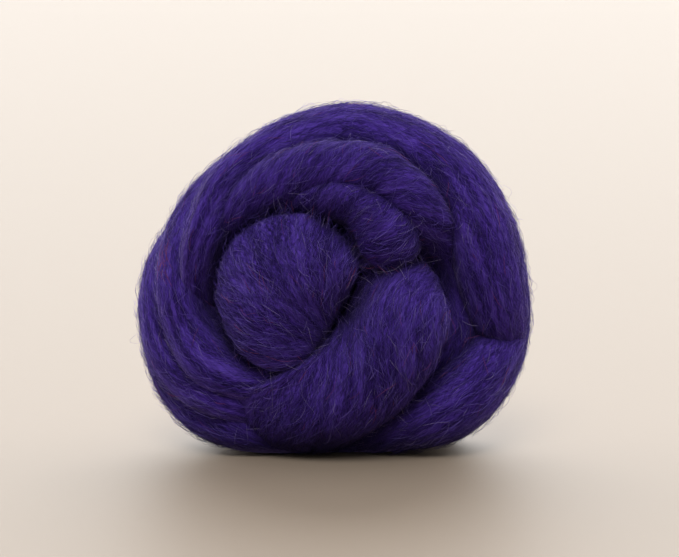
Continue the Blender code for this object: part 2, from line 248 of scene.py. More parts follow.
def dye_with_painted_shade(material, colour, roughness, specular):
    """Puts the colour on the material, darkened by the painted shade that its points carry, with how matt it
    is.
    """
    tree = material.node_tree
    shade = new_node(tree, "Attribute", attribute_name="shade")
    under_shade = {"Colour": colour, "Shade": shade.outputs["Fac"]}
    shaded = new_node(tree, "Group", under_shade, node_tree=SHADED)
    shader = tree.nodes["Principled BSDF"]
    tree.links.new(shaded.outputs["Colour"], shader.inputs["Base Color"])
    shader.inputs["Roughness"].default_value = roughness
    shader.inputs["Specular IOR Level"].default_value = specular


# The darkest colour of the painted shade, which wool goes over to deep in the valleys.
PAINTED_SHADE_DARKEST = (0.016, 0.008, 0.066)
DEEP = (0.015, 0.006, 0.072)
VIOLET = (0.043, 0.0175, 0.2)
LILAC = (0.085, 0.042, 0.335)
SHEEN_TINT = (0.52, 0.38, 1.0)
COMBED = combed_group()
SHADED = shaded_group()


def wool_material(name, relief=0.8, width=0.09, middle=0.5, sheen=0.25):
    """Dyed combed wool: streaks from deep to light violet along the fibres, the softer the greater the width
    of the change, the darker the later its middle, and a matt, fibrous sheen."""
    material = bpy.data.materials.new(name)
    material.use_nodes = True
    tree = material.node_tree
    grain = new_node(tree, "UVMap", uv_map="Grain")
    combed = new_node(tree, "Group", {"Grain": grain.outputs[0]}, node_tree=COMBED)
    fine = new_node(tree, "Math", {0: combed.outputs["Streak"], 1: 0.7}, operation="MULTIPLY")
    both = {0: combed.outputs["Lock"], 1: 0.3, 2: fine.outputs[0]}
    share = new_node(tree, "Math", both, operation="MULTIPLY_ADD")
    tint = new_node(tree, "ValToRGB", {0: share.outputs[0]})
    ramp = tint.color_ramp.elements
    ramp[0].position, ramp[0].color = middle - width, (*DEEP, 1)
    ramp[1].position, ramp[1].color = middle + 0.01 + width, (*LILAC, 1)
    ramp.new(middle).color = (*VIOLET, 1)
    dye_with_painted_shade(material, tint.outputs[0], roughness=0.8, specular=0.08)
    relief_look = {"Strength": relief, "Distance": 0.25 * MM, "Height": combed.outputs["Height"]}
    bump = new_node(tree, "Bump", relief_look)
    shader = tree.nodes["Principled BSDF"]
    tree.links.new(bump.outputs[0], shader.inputs["Normal"])
    shader.inputs["Sheen Weight"].default_value = sheen
    shader.inputs["Sheen Roughness"].default_value = 0.3
    shader.inputs["Sheen Tint"].default_value = (*SHEEN_TINT, 1)
    return material


core_clock, core_depth = np.meshgrid(
    np.linspace(0, 2 * math.pi, 97), np.linspace(-0.98, 0.98, 33) * math.pi / 2, indexing="xy"
)
core_place = np.stack(
    [
        MIDDLE_RADIUS * np.cos(core_depth) * np.sin(core_clock),
        MIDDLE_HALF_DEPTH * np.sin(core_depth),
        MIDDLE_RADIUS * np.cos(core_depth) * np.cos(core_clock),
    ],
    -1,
)
core_grain = np.stack([core_depth * MIDDLE_GRAIN[0], core_clock * MIDDLE_GRAIN[1]], -1)
core_tips = settled(np.array([[0, -MIDDLE_HALF_DEPTH, 0], [0, MIDDLE_HALF_DEPTH, 0]]))
line_depth = MIDDLE_HALF_DEPTH * np.sin(core_depth[:, 0])
middle_line = settled(np.stack([0 * line_depth, line_depth, 0 * line_depth], -1))
middle_mesh = closed_tube("wound_middle", settled(core_place[:, :-1]), core_tips, core_grain)
wound_middle = shown("wound_middle", middle_mesh, wool_material("wool_of_the_middle"))
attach(wound_middle, "root")
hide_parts("roving_ball")

# ---- The turns over the back ----
# The strand goes on round the back in one spiral towards the winding axis, each turn beside the last, and its
# end is tucked in at the middle. Nothing holds it but the grip of the fibres.

STEPS_BETWEEN_ROWS = 40
FLANK_CLOCK = -48
FLANK_SPREAD = 28
FLANK_SHARE = 0.05
ROOT = 11 * MM
ROOT_SHARE = 1.6
GRAIN_APART = 31.7  # mm of combing from one piece to the next, so that no two are streaked alike


def curve_through(rows):
    """The rows on one smooth line: a Catmull-Rom cubic between each two."""
    rows = np.array(rows, float)
    padded = np.vstack([2 * rows[0] - rows[1], rows, 2 * rows[-1] - rows[-2]])
    at = np.linspace(0, len(rows) - 1, STEPS_BETWEEN_ROWS * (len(rows) - 1) + 1)
    whole = np.minimum(at.astype(int), len(rows) - 2)
    t = (at - whole)[:, None]
    a, b, c, d = (padded[whole + k] for k in range(4))
    line = 2 * b + (c - a) * t + (2 * a - 5 * b + 4 * c - d) * t**2
    return 0.5 * (line + (3 * b - a - 3 * c + d) * t**3)


def even_steps(places, others, spacing):
    """The places and what goes with them, read off again at equal steps of about that length."""
    length = np.r_[0, np.cumsum(np.linalg.norm(np.diff(places, axis=0), axis=1))]
    wanted = np.linspace(0, length[-1], max(8, round(length[-1] / spacing)) + 1)
    columns = np.column_stack([places, others])
    read = np.stack([np.interp(wanted, length, column) for column in columns.T], -1)
    return read[:, :3], read[:, 3:], wanted


def round_the_axis(clock, reach, depth):
    """Places round the winding axis. The flatter flank is drawn in by share x exp(-(angle / spread)^2)."""
    angle = np.radians(clock)
    from_flank = (clock - FLANK_CLOCK + 180) % 360 - 180
    reach = reach * (1 - FLANK_SHARE * np.exp(-((from_flank / FLANK_SPREAD) ** 2)))
    return np.stack([reach * np.sin(angle), depth, reach * np.cos(angle)], -1)


def unit(vectors):
    """The vectors at length 1."""
    return vectors / np.maximum(np.linalg.norm(vectors, axis=-1, keepdims=True), 1e-12)


def section_angles(width, thick, fine):
    """Angles round an oval section from its innermost point: about fine apart outside, at least 24 of them,
    and wide apart on the hidden inside."""
    wide = math.radians(36)
    count = max(24, round(1.25 * math.pi * (np.percentile(width, 80) + np.percentile(thick, 80)) / 2 / fine))
    return np.r_[
        np.linspace(-math.pi / 2, -wide, 5)[:-1],
        np.linspace(-wide, math.pi + wide, count),
        np.linspace(math.pi + wide, 1.5 * math.pi, 5)[1:],
    ]


def combed(name, grid, angle, c, a, seed, strength, tips, line):
    """A closed, combed piece from its smooth grid: settled on the floor, with the relief of the combed fibres
    added along the normal, except at the ends and on the hidden root. c runs across the fibres and a along
    them, in mm. Returns the mesh, and the sheet that fibres are laid on later."""
    held = settled(grid)
    normal = unit(np.cross(np.gradient(held, axis=1), np.gradient(held, axis=0)))
    if (normal * (grid - line["places"][:, None])).sum() < 0:
        normal = -normal
    share = np.linspace(0, 1, len(grid))[:, None]
    root_side = np.clip((np.sin(angle) + 0.8) / 0.5, 0, 1)  # 0 deep on the root, 1 from near its edge out
    ends = np.clip(np.minimum(share, 1 - share) / 0.03, 0, 1)  # fades over 3% of the length at each end
    lift = combed_relief(c, a, seed) * strength * root_side * ends
    held = held + normal * lift[..., None] * MM
    held[..., 2] = np.maximum(held[..., 2], 0)
    held[:, -1] = held[:, 0]
    mesh = closed_tube(name, held[:, :-1], settled(tips), np.stack([c + GRAIN_APART * seed, a], -1))
    return mesh, {"name": name, "grid": held, "normal": normal, "c": c, "angle": angle, "line": line}


def combed_strand(name, places, sizes, seed, spacing, fine, strength=1.0, slope=1.0):
    """One stretch of the strand. Its section is oval: half width W to the sides, half thickness T outwards
    and a deeper root inwards, P = centre + W cos(a) side + T sin(a)^slope out, where a slope over 1 lets one
    of its sides run out gently. Its sizes are W, T, the angle in degrees at which the fibres cross the
    strand, and the angle by which the section is rolled about the strand, left side down."""
    places, sizes, length = even_steps(places, sizes, spacing)
    width, thick = sizes[:, 0], sizes[:, 1]
    along = unit(np.gradient(places, axis=0))
    out = unit(places / np.array([BALL_RADIUS, BALL_HALF_DEPTH, BALL_RADIUS]) ** 2)
    out = unit(out - (out * along).sum(1, keepdims=True) * along)
    side = np.cross(along, out)
    lean, roll = np.radians(sizes[:, 2]), np.radians(sizes[:, 3])[:, None]
    side, out = np.cos(roll) * side - np.sin(roll) * out, np.cos(roll) * out + np.sin(roll) * side
    angle = section_angles(width, thick, fine)
    root = np.minimum(ROOT, ROOT_SHARE * thick)
    gentle = (np.cos(angle) > 0) & (np.sin(angle) > 0)
    rise = np.sign(np.sin(angle)) * np.abs(np.sin(angle)) ** np.where(gentle, slope, 1)
    depth = np.where(rise > 0, thick[:, None], root[:, None]) * rise
    grid = places[:, None] + (width[:, None] * np.cos(angle))[..., None] * side[:, None]
    grid = grid + depth[..., None] * out[:, None]
    flat = np.stack([width.mean() * np.cos(angle), thick.mean() * np.sin(angle)], -1)
    across = np.r_[0, np.cumsum(np.linalg.norm(np.diff(flat, axis=0), axis=1))] / MM
    across = across - across[len(across) // 2]
    step = np.gradient(length) / MM
    c = across[None] * np.cos(lean)[:, None] - np.cumsum(np.sin(lean) * step)[:, None]
    a = across[None] * np.sin(lean)[:, None] + np.cumsum(np.cos(lean) * step)[:, None]
    line = {"places": places, "side": side, "out": out, "along": along}
    line |= {"width": width, "thick": thick, "root": root}
    return combed(name, grid, angle, c, a, seed, strength, places[[0, -1]], line)


BACK_REACH = 45.5 * MM
BACK_DEPTH = 27 * MM
BACK_START_CLOCK = -60
BACK_TURNS = 3.6
BACK_TAPER_TURNS = 0.2
BACK_HALF_WIDTH = 8.8 * MM
BACK_HALF_THICKNESS = 7.2 * MM
BACK_FIBRE_ANGLE = 4

latitude = np.radians(np.linspace(3, 80, 400))
back_reach, back_depth = BACK_REACH * np.cos(latitude), BACK_DEPTH * np.sin(latitude)
back_length = np.r_[0, np.cumsum(np.hypot(np.diff(back_reach), np.diff(back_depth)))]
back_share = np.linspace(0, 1, 600)
back_places = round_the_axis(
    BACK_START_CLOCK + 360 * BACK_TURNS * back_share,
    np.interp(back_share * back_length[-1], back_length, back_reach),
    np.interp(back_share * back_length[-1], back_length, back_depth),
)
back_taper = np.clip(BACK_TURNS * back_share / BACK_TAPER_TURNS, 0.3, 1)
back_halves = [BACK_HALF_WIDTH * back_taper, BACK_HALF_THICKNESS * back_taper]
back_sizes = np.stack([*back_halves, BACK_FIBRE_ANGLE + 0 * back_taper, 0 * back_taper], -1)
back_mesh, back_sheet = combed_strand(
    "back_turns", back_places, back_sizes, seed=11, spacing=1.5 * MM, fine=0.5 * MM
)
back_turns = shown("back_turns", back_mesh, wool_material("wool_of_the_back"))
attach(back_turns, "root")
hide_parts("roving_ball")

TUCK = (
    (9.0, 15.0, -2.0, 4.0, 4.0, 8, 0),
    (5.0, 22.5, -3.5, 7.5, 6.0, 8, 0),
    (-1.0, 26.5, -3.5, 8.5, 6.5, 8, 0),
    (-6.0, 24.5, -1.0, 7.5, 6.0, 8, 0),
    (-9.0, 18.0, 4.0, 4.0, 4.0, 8, 0),
)


def fold(name, rows, seed, spacing=0.8, fine=0.36, **how):
    """A fold of the strand from its rows: across, depth, height, half width, half thickness, fibre angle and
    roll."""
    line = curve_through(rows)
    sizes = np.column_stack([line[:, 3:5] * MM, line[:, 5:]])
    return combed_strand(name, line[:, :3] * MM, sizes, seed, spacing * MM, fine * MM, **how)


tuck_mesh, tuck_sheet = fold("back_tuck", TUCK, seed=12, fine=0.42)
back_tuck = shown("back_tuck", tuck_mesh, wool_material("wool_of_the_tuck"))
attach(back_tuck, "root")
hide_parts("roving_ball")

# ---- The outer turns ----
# Four turns of the strand round the rim: three come round the left side and turn in under the middle, and one
# runs up the right side from below. Each is held by the next one wound over it.

OUTER_TURNS = {
    "rim_turn": (
        (-160, 27.0, -8.0, 5.0, 6.0, 0),
        (-144, 31.0, -13.0, 6.5, 7.5, 0),
        (-127, 37.5, -14.5, 7.0, 8.0, 0),
        (-112, 44.0, -8.0, 8.0, 7.8, 0),
        (-96, 45.8, -1.5, 8.0, 7.5, 0),
        (-82, 45.6, 5.0, 8.0, 7.0, 0),
        (-64, 42.0, 11.0, 8.5, 7.0, 0),
        (-40, 41.0, 15.0, 7.5, 6.5, 0),
        (-18, 39.5, 17.0, 2.0, 2.0, 0),
    ),
    "low_turn": (
        (-200, 40.0, 0.0, 6.0, 5.0, 0),
        (-185, 39.5, -1.0, 9.0, 7.0, 0),
        (-170, 38.5, -4.5, 9.0, 7.5, 0),
        (-156, 38.8, -8.5, 8.5, 8.0, 0),
        (-142, 40.8, -11.0, 8.5, 8.0, 0),
        (-128, 45.0, -7.5, 8.0, 7.5, 0),
        (-112, 47.2, 0.0, 8.0, 7.0, 0),
        (-92, 44.8, 7.0, 8.0, 7.0, 0),
        (-72, 41.0, 13.0, 7.0, 6.5, 0),
        (-52, 38.5, 16.0, 2.0, 2.0, 0),
    ),
    "outer_turn": (
        (-162, 8.0, -12.0, 3.0, 4.5, 0),
        (-156, 12.0, -17.0, 3.6, 6.0, 0),
        (-148, 18.0, -19.8, 4.2, 6.8, 0),
        (-138, 24.0, -19.5, 4.8, 7.0, 0),
        (-127, 29.8, -18.5, 6.0, 7.5, 0),
        (-113, 35.5, -16.5, 7.6, 8.0, 0),
        (-98, 39.3, -13.5, 6.5, 6.8, 0),
        (-84, 41.8, -11.5, 6.5, 6.5, 0),
        (-70, 43.2, -4.5, 7.5, 7.0, 0),
        (-54, 44.2, 1.5, 7.5, 7.0, 0),
        (-34, 42.9, 5.0, 8.0, 7.0, 0),
        (-14, 43.1, 7.0, 7.5, 6.5, 0),
        (8, 44.0, 8.0, 2.0, 2.0, 0),
    ),
    "under_turn": (
        (36, 43.5, 12.0, 2.0, 2.0, 0),
        (56, 44.0, 12.0, 7.0, 6.5, 0),
        (76, 44.4, 9.0, 8.0, 7.3, 0),
        (90, 44.3, 4.0, 8.5, 7.8, 0),
        (103, 44.9, -1.8, 8.6, 8.0, 0),
        (118, 43.5, -9.8, 10.5, 8.0, 0),
        (136, 39.8, -14.2, 11.0, 7.8, 0),
        (152, 37.8, -10.2, 11.0, 7.5, 0),
        (170, 40.0, -1.5, 11.0, 7.5, 0),
        (186, 40.3, 0.5, 11.0, 7.5, 0),
        (205, 41.3, 1.5, 9.0, 7.0, 0),
        (228, 41.0, 4.0, 3.0, 4.0, 0),
    ),
}


def turn(name, rows, seed, spacing=1.0, fine=0.36, **how):
    """A turn of the strand from its rows: clock, reach, depth, half width, half thickness and fibre angle."""
    line = curve_through(rows)
    places = round_the_axis(line[:, 0], line[:, 1] * MM, line[:, 2] * MM)
    sizes = np.column_stack([line[:, 3:5] * MM, line[:, 5], 0 * line[:, 5]])
    return combed_strand(name, places, sizes, seed, spacing * MM, fine * MM, **how)


outer_wool = wool_material("wool_of_the_outer_turns", width=0.075, sheen=0.62)
sheets = [back_sheet, tuck_sheet]
for seed, (turn_name, rows) in enumerate(OUTER_TURNS.items(), 21):
    turn_mesh, sheet = turn(turn_name, rows, seed)
    outer = shown(turn_name, turn_mesh, outer_wool)
    sheets.append(sheet)
    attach(outer, "root")
    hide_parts("roving_ball")

# ---- The inner turns ----
# The same strand further in. The fourth turn starts thin at the left and widens over the top into the broad
# band on the right. The third arches inside it with its fibres slanting across, and the short hook curls over
# the middle. They are wedged between their neighbours, and nothing else holds them.

INNER_TURNS = {
    "fourth_turn": (
        (-120, 32.0, 2.0, 2.5, 3.0, 0),
        (-106, 33.0, -4.0, 3.0, 4.5, 0),
        (-93, 34.3, -9.5, 3.5, 5.5, 0),
        (-80, 36.5, -13.2, 4.0, 6.0, 0),
        (-69, 38.6, -15.8, 4.3, 6.5, 0),
        (-58, 40.8, -16.6, 5.0, 7.3, 0),
        (-44, 43.1, -13.8, 5.8, 7.5, 0),
        (-31, 43.0, -10.8, 6.8, 7.5, 0),
        (-16, 43.5, -8.0, 8.3, 7.3, 0),
        (4, 45.3, -5.2, 9.7, 7.1, 0),
        (24, 45.6, -5.7, 10.2, 7.3, 0),
        (42, 45.0, -7.5, 10.5, 8.0, 0),
        (60, 43.2, -10.0, 11.0, 8.5, 0),
        (76, 42.2, -10.5, 10.5, 8.3, 0),
        (90, 42.6, -8.5, 9.0, 8.0, 0),
        (103, 43.8, -3.4, 7.2, 7.5, 0),
        (116, 44.0, 2.0, 6.5, 6.5, 0),
        (130, 42.0, 7.0, 3.0, 3.0, 0),
    ),
    "third_turn": (
        (-84, 33.0, -4.0, 4.0, 5.0, 0),
        (-66, 34.5, -9.0, 4.5, 6.0, 0),
        (-48, 36.5, -15.5, 5.0, 6.5, 12),
        (-33, 37.0, -18.5, 6.0, 7.0, 30),
        (-18, 36.9, -20.0, 6.8, 7.3, 42),
        (-2, 36.7, -20.5, 7.2, 7.3, 48),
        (13, 36.7, -20.5, 7.5, 7.3, 48),
        (27, 35.5, -20.5, 7.0, 7.3, 40),
        (40, 33.7, -19.0, 6.7, 7.3, 28),
        (53, 32.0, -14.0, 6.0, 7.0, 15),
        (68, 31.0, -9.5, 5.5, 6.5, 5),
        (88, 31.5, -7.5, 6.3, 6.0, 0),
        (110, 33.0, -8.5, 7.0, 6.0, 0),
        (132, 33.0, -10.5, 7.5, 6.5, 0),
        (150, 32.0, -12.0, 8.0, 7.0, 0),
        (166, 30.5, -10.0, 6.5, 6.0, 0),
        (180, 29.0, -6.0, 3.0, 4.0, 0),
    ),
    "inner_hook": (
        (-32, 29.5, -16.0, 3.0, 4.0, 50),
        (-14, 29.4, -20.8, 4.6, 5.8, 58),
        (0, 29.2, -22.8, 5.0, 6.6, 66),
        (10, 28.0, -23.6, 5.4, 7.0, 74),
        (20, 26.0, -23.8, 6.6, 7.3, 80),
        (31, 23.8, -23.0, 8.2, 7.4, 84),
        (40, 22.5, -20.0, 8.0, 7.2, 86),
        (47, 21.5, -12.5, 7.0, 6.0, 88),
        (54, 21.0, -4.0, 6.0, 5.0, 88),
    ),
}

# Two of them take finer steps, and the hook also has a gentle side and less relief.
INNER_WAYS = {
    "third_turn": {"spacing": 0.6},
    "inner_hook": {"spacing": 0.5, "slope": 1.8, "strength": 0.6},
}
# The inner turns' streaks are a little darker than the rest: painted shade, as the turns further out keep
# light off them.
inner_wool_painted_darker = wool_material("wool_of_the_inner_turns", middle=0.518)
for seed, (turn_name, rows) in enumerate(INNER_TURNS.items(), 31):
    turn_mesh, sheet = turn(turn_name, rows, seed, **INNER_WAYS.get(turn_name, {}))
    inner = shown(turn_name, turn_mesh, outer_wool if turn_name == "fourth_turn" else inner_wool_painted_darker)
    sheets.append(sheet)
    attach(inner, "root")
    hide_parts("roving_ball")

# ---- The folds on the face ----
# The strand's last stretch: a round lobe left of the middle, whose fibres fan out of one deep crevice, and
# the broad front fold that comes out of it and goes down under the ball. The fibres' grip alone holds them.

# The lobe's rows go across it from its left end: t in degrees, which x follows from, height of the middle,
# half height, depth of the middle and half thickness.
LOBE = (
    (0, 5.2, 0.4, -17.0, 0.4),
    (15, 5.2, 5.3, -18.5, 4.0),
    (30, 4.9, 10.0, -20.5, 6.8),
    (45, 4.6, 14.6, -22.5, 9.0),
    (60, 4.4, 17.8, -24.2, 10.5),
    (75, 4.5, 19.9, -25.3, 11.0),
    (90, 5.0, 20.4, -25.8, 11.0),
    (105, 6.1, 19.4, -25.5, 10.8),
    (120, 7.4, 15.0, -24.5, 10.3),
    (135, 10.0, 10.0, -23.0, 9.5),
    (150, 11.2, 6.3, -21.0, 8.3),
    (165, 11.9, 3.0, -18.5, 6.5),
    (180, 12.1, 0.4, -15.5, 0.4),
)
LOBE_MIDDLE = -12.4
LOBE_HALF_LENGTH = 18.8
LOBE_ROOT = 9 * MM
LEAST_HALF = 0.2 * MM
DIMPLE_PLACE = (-1 * MM, -6 * MM)
DIMPLE_REACH = 13 * MM
DIMPLE_DEEP = 6 * MM
CREVICE = (2.4, -9.5)
FAN_WIDTH = 17
FAN_SPIRAL = 0.0098
FAN_MIDDLE = 20


def lobe(name, rows, seed, fine=0.4):
    """The round lobe. x = middle - half length cos(t) as t goes from 0 to 180 degrees, and each section is an
    oval, z = middle + W cos(a), y = depth - T sin(a). It is dimpled where it turns into the crevice, by the
    dimple's depth x exp(-(distance / reach)^2). Its fibres fan out of the crevice in slow spirals: they lie
    where angle - spiral x distance stays equal, the angle rising from the left upwards at the crevice."""
    line = curve_through(rows)
    t = np.radians(line[:, 0])
    x = LOBE_MIDDLE - LOBE_HALF_LENGTH * np.cos(t)
    middles = np.stack([x, line[:, 3], line[:, 1]], -1) * MM
    places, sizes, _ = even_steps(middles, line[:, [2, 4]] * MM, 0.4 * MM)
    width, thick = np.maximum(sizes, LEAST_HALF).T
    root = np.minimum(LOBE_ROOT, thick)
    angle = section_angles(width, thick, fine * MM)
    inward = np.where(np.sin(angle) > 0, thick[:, None], root[:, None])
    grid = np.repeat(places[:, None], len(angle), 1)
    grid[..., 2] += width[:, None] * np.cos(angle)
    grid[..., 1] -= inward * np.sin(angle)
    from_dimple = np.hypot(grid[..., 0] - DIMPLE_PLACE[0], grid[..., 2] - DIMPLE_PLACE[1])
    dimple = np.exp(-((from_dimple / DIMPLE_REACH) ** 2))
    grid[..., 1] += DIMPLE_DEEP * dimple * np.clip(np.sin(angle), 0, 1)
    away_x, away_z = grid[..., 0] / MM - CREVICE[0], grid[..., 2] / MM - CREVICE[1]
    a = np.hypot(away_x, away_z)
    c = FAN_WIDTH * (np.arctan2(away_z, -away_x) - FAN_SPIRAL * (a - FAN_MIDDLE))
    ones = np.ones((len(places), 1))
    line = {"places": places, "width": width, "thick": thick, "root": root}
    line |= {"side": ones * [0, 0, 1.0], "out": ones * [0, -1.0, 0], "along": ones * [1.0, 0, 0]}
    return combed(name, grid, angle, c, a, seed, np.clip((a - 4) / 8, 0, 1), places[[0, -1]], line)


face_wool = wool_material("wool_of_the_face", relief=1.0, width=0.06)
lobe_mesh, lobe_sheet = lobe("core_lobe", LOBE, seed=41)
core_lobe = shown("core_lobe", lobe_mesh, face_wool)
sheets.append(lobe_sheet)
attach(core_lobe, "root")
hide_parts("roving_ball")

FRONT_FOLD = (
    (19.5, -8.0, 6.8, 7.5, 5.5, 0, 4),
    (19.3, -16.5, 6.2, 10.2, 7.0, 4, 10),
    (17.7, -21.6, 3.2, 12.4, 8.0, 8, 21),
    (15.5, -24.8, -3.2, 13.5, 8.6, 18, 31),
    (11.8, -25.4, -10.8, 13.4, 8.6, 27, 18),
    (5.2, -24.0, -19.3, 14.3, 8.5, 33, -8),
    (-5.0, -19.8, -26.6, 16.6, 8.3, 33, -17),
    (-14.0, -12.3, -32.0, 19.8, 7.7, 28, -10),
    (-20.0, -2.5, -37.3, 20.0, 7.2, 20, 0),
)
# The fold's streaks are a little lighter than the rest: painted light on the part of the face that stands out
# furthest.
fold_wool_painted_lighter = wool_material("wool_of_the_fold", relief=1.0, width=0.06, middle=0.49)
fold_mesh, fold_sheet = fold("front_fold", FRONT_FOLD, seed=43, slope=3.0)
front_fold = shown("front_fold", fold_mesh, fold_wool_painted_lighter)
sheets.append(fold_sheet)
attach(front_fold, "root")
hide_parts("roving_ball")

# ---- The painted shade between the turns ----
# Painted shade: wool down in a valley is crowded by the turns round it and hardly any light comes back out,
# so its colour is darkened towards near black. How crowded each place is follows from the shapes of all the
# turns, and it stays on their points as the painted shade that darkens their colour.

CELL = 1.5 * MM
CELLS = (104, 84, 88)
CELLS_FROM = np.array([-78.0, -63.0, -18.0]) * MM
# The floor counts fuller than wool, so that the wool near the floor gets a painted shadow.
FLOOR_FULLNESS_FOR_PAINTED_SHADE = 1.6
NEAR_RADIUS, NEAR_HEIGHT = 2.2 * MM, 1.5 * MM
WIDE_RADIUS, WIDE_HEIGHT = 7 * MM, 5 * MM
SHADE_STARTS = 0.3
SHADE_SPAN = 0.36


def wool_cells(parts):
    """How full each cell of space is: 1 for all those met on the way from each surface in to its middle line,
    and more for those under the floor, which lets no light through where wool lets a little, so that the
    painted shade also darkens the wool near the floor."""
    cells = np.zeros(CELLS)
    cells[:, :, : int(-CELLS_FROM[2] / CELL)] = FLOOR_FULLNESS_FOR_PAINTED_SHADE
    for surface, middle in parts:
        for share in np.linspace(0, 0.97, 16):
            place = middle[:, None] + (surface - middle[:, None]) * share
            met = np.round((place - CELLS_FROM) / CELL).astype(int)
            cells[tuple(met.reshape(-1, 3).T)] = 1
    return cells


def spread(cells, radius):
    """The cells blurred by a Gaussian of that radius: frequency f is scaled by exp(-2 (pi radius f)^2)."""
    i, j, k = (np.fft.fftfreq(count, CELL) ** 2 for count in cells.shape)
    square = i[:, None, None] + j[None, :, None] + k[None, None, :]
    return np.fft.ifftn(np.fft.fftn(cells) * np.exp(-2 * (math.pi * radius) ** 2 * square)).real


def read_off(cells, points):
    """The cells' value at each point: its eight neighbours, weighted by nearness."""
    place = (points - CELLS_FROM) / CELL
    whole = np.floor(place).astype(int)
    part = place - whole
    value = 0
    for corner in np.ndindex(2, 2, 2):
        weight = np.prod(np.where(np.array(corner) == 1, part, 1 - part), axis=-1)
        value = value + weight * cells[tuple(np.moveaxis(whole + corner, -1, 0))]
    return value


def shade_at(points, normals):
    """Painted shade from 0 in the open to 1 deep down. It follows the mean of how much wool stands close
    round a place a little above the surface, and widely round one further above it: (mean - start) / span."""
    crowd = 0.5 * read_off(NEAR_WOOL, points + NEAR_HEIGHT * normals)
    crowd = crowd + 0.5 * read_off(WIDE_WOOL, points + WIDE_HEIGHT * normals)
    return np.clip((crowd - SHADE_STARTS) / SHADE_SPAN, 0, 1)


strand_parts = [(sheet["grid"], settled(sheet["line"]["places"])) for sheet in sheets]
wool = wool_cells([(settled(core_place), middle_line), *strand_parts])
NEAR_WOOL, WIDE_WOOL = spread(wool, NEAR_RADIUS), spread(wool, WIDE_RADIUS)
# Each strand piece keeps the painted shade of its points, which darkens its colour.
for piece in list(bpy.context.scene.collection.objects):
    if piece.type == "MESH" and piece.data.uv_layers.get("Grain"):
        points, normals = np.empty((2, len(piece.data.vertices), 3), np.float32)
        piece.data.vertices.foreach_get("co", points.ravel())
        piece.data.vertex_normals.foreach_get("vector", normals.ravel())
        shade = piece.data.attributes.new("shade", "FLOAT", "POINT")
        found = shade_at(points.astype(float), normals.astype(float))
        shade.data.foreach_set("value", found.astype(np.float32))

# ---- The fibres that lie on the surface ----
# Single wool fibres and small locks on the outside of every turn. They follow the combing, wander a little to
# either side, and lie a few tenths of a millimetre proud, the odd one over 1 mm, so that the surface is hair
# and not skin.

CLEAR_OF_THE_FLOOR = 1.2 * MM
LEAST_HEIGHT = 0.02 * MM
MAP_MARGIN = 0.08
LAID_RADIUS = (0.022, 0.05)
FINE_RADIUS = (0.02, 0.035)
RED_TONE = 0.93
PALE_TONE = 0.96
PALEST = (0.36, 0.29, 0.56)

# The colours that a fibre's tone picks, from the deep violet at 0 to the palest at 1.
FIBRE_TONES = (
    (0.45, VIOLET),
    (0.8, (0.12, 0.072, 0.42)),
    (0.9, (0.19, 0.135, 0.5)),
    (RED_TONE, (0.27, 0.05, 0.13)),
    (PALE_TONE, (0.28, 0.22, 0.5)),
)


def between(field, i, j):
    """A grid's value at fractional rows i and columns j: its four neighbours, weighted by nearness."""
    i0 = np.clip(np.floor(i).astype(int), 0, field.shape[0] - 2)
    j0 = np.clip(np.floor(j).astype(int), 0, field.shape[1] - 2)
    s, t = (i - i0)[..., None], (j - j0)[..., None]
    low = field[i0, j0] * (1 - t) + field[i0, j0 + 1] * t
    high = field[i0 + 1, j0] * (1 - t) + field[i0 + 1, j0 + 1] * t
    return low * (1 - s) + high * s


def buried(points, line):
    """Which points lie inside a strand: (across / width)^2 + (height / thickness)^2 < 1, where it is next
    to them."""
    near = ((points[:, None] - line["places"][None, ::3]) ** 2).sum(-1).argmin(1) * 3
    away = points - line["places"][near]
    across = (away * line["side"][near]).sum(1) / line["width"][near]
    high = (away * line["out"][near]).sum(1)
    high = high / np.where(high > 0, line["thick"][near], line["root"][near])
    past = np.abs((away * line["along"][near]).sum(1)) < 3 * MM
    return (across**2 + high**2 < 1) & past


def unsettled(points):
    """Points in their place over the floor, measured from the winding axis again."""
    return points - [AXIS_PLACE[0], AXIS_PLACE[1], AXIS_HEIGHT]


